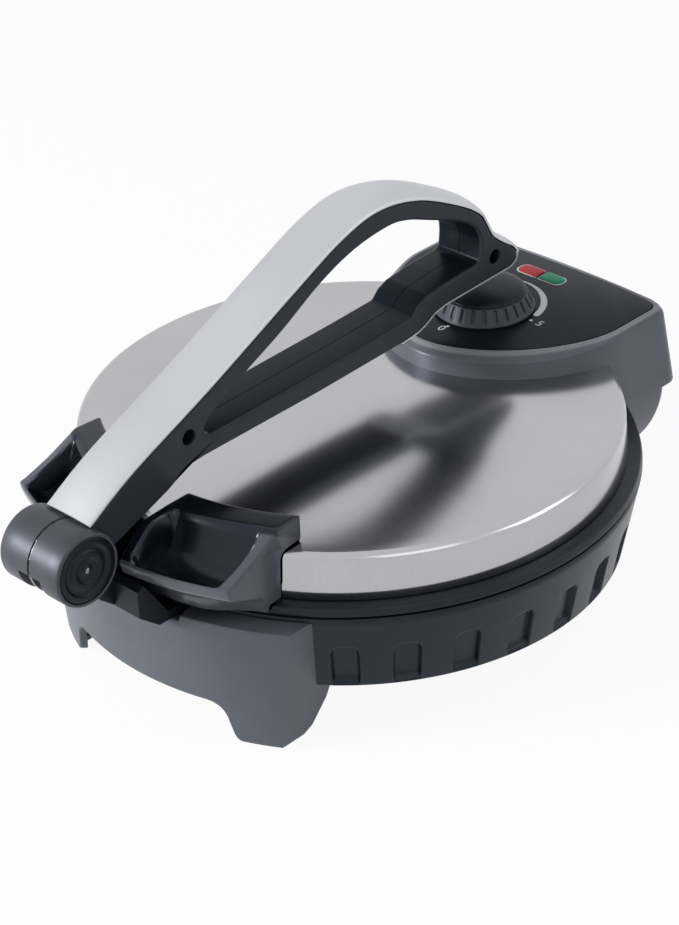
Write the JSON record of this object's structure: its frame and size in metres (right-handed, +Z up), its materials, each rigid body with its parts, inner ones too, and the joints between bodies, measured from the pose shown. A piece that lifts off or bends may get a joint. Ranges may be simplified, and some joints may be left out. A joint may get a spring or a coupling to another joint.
{
  "type": "electric roti maker",
  "caption": "Countertop electric flat-bread press: hinged round lid, long throw-over lever with a triangular opening, rear control box with a temperature knob, and a skirt with front feet.",
  "frame": {"origin": "bottom centre of the whole object, on the table", "axes": "+Z up, +Y from the lever's hub to the hinge and control box, +X to the object's right seen from the hub"},
  "size_m": [0.2468, 0.321, 0.1816],
  "materials": {
    "bowl_plastic": "dark satin moulded plastic",
    "black_plastic": "dark moulded plastic",
    "coated_plate": "cast plate with a dark non-stick coat",
    "element_steel": "sheathed tube",
    "sheet_steel": "plain sheet",
    "apron_plastic": "grey satin moulded plastic",
    "box_plastic": "dark grey satin moulded plastic",
    "soft_rubber": "soft black rubber",
    "screw_steel": "bright steel",
    "ring_plastic": "dark semi-gloss plastic",
    "brushed_steel": "brushed stainless steel",
    "grip_plastic": "dark semi-gloss plastic",
    "panel_plastic": "near-black satin panel",
    "red_lens": "translucent red lens",
    "green_lens": "translucent green lens",
    "lever_plastic": "black semi-gloss plastic",
    "brushed_strip": "satin brushed strip",
    "knob_plastic": "dark satin knob"
  },
  "bodies": {
    "base": {"base_bowl": "bowl_plastic", "bottom_cover": "black_plastic", "bottom_screw_1": "screw_steel", "bottom_screw_2": "screw_steel", "bottom_screw_3": "screw_steel", "bottom_screw_4": "screw_steel", "lower_plate": "coated_plate", "lower_element": "element_steel", "lower_pan": "sheet_steel", "front_apron": "apron_plastic", "front_pad_left": "soft_rubber", "front_pad_right": "soft_rubber", "rear_foot_left": "black_plastic", "rear_foot_right": "black_plastic", "rear_pad_left": "soft_rubber", "rear_pad_right": "soft_rubber", "rear_housing": "box_plastic", "hinge_pin_left": "screw_steel", "hinge_pin_right": "screw_steel", "cord_inlet": "soft_rubber", "pivot_plate": "screw_steel", "lever_bracket": "black_plastic", "bracket_screw_left": "screw_steel", "bracket_screw_right": "screw_steel"},
    "lid": {"lid_ring": "ring_plastic", "lid_cover": "brushed_steel", "lid_screw_left": "screw_steel", "lid_screw_right": "screw_steel", "upper_plate": "coated_plate", "upper_element": "element_steel", "upper_pan": "sheet_steel", "grip_left": "grip_plastic", "grip_right": "grip_plastic", "control_box": "box_plastic", "control_panel": "panel_plastic", "power_lens": "red_lens", "ready_lens": "green_lens", "lamp_holder": "black_plastic", "thermostat": "sheet_steel"},
    "lever": {"lever_frame_left": "lever_plastic", "lever_frame_right": "lever_plastic", "lever_strip": "brushed_strip", "lever_screw_front": "screw_steel", "lever_screw_rear": "screw_steel", "hub_cap_left": "lever_plastic", "hub_cap_right": "lever_plastic", "lever_axle": "screw_steel"},
    "knob": {"knob": "knob_plastic", "knob_shaft": "screw_steel"}
  },
  "joints": [
    {"name": "lid_hinge", "type": "hinge", "parent": "base", "child": "lid", "pos_m": [0, 0.1555, 0.0615], "axis": [-1, 0, 0], "range_deg": [0, 76]},
    {"name": "lever_swing", "type": "hinge", "parent": "base", "child": "lever", "pos_m": [0, -0.145, 0.0912], "axis": [1, 0, 0], "range_deg": [0, 175]},
    {"name": "knob_turn", "type": "hinge", "parent": "lid", "child": "knob", "pos_m": [0, 0.102, 0.1], "axis": [0, 0, -1], "range_deg": [0, 260]}
  ],
  "couplings": [
    {"joint": "lever_swing", "follows": "lid_hinge", "ratio": 2.3}
  ]
}
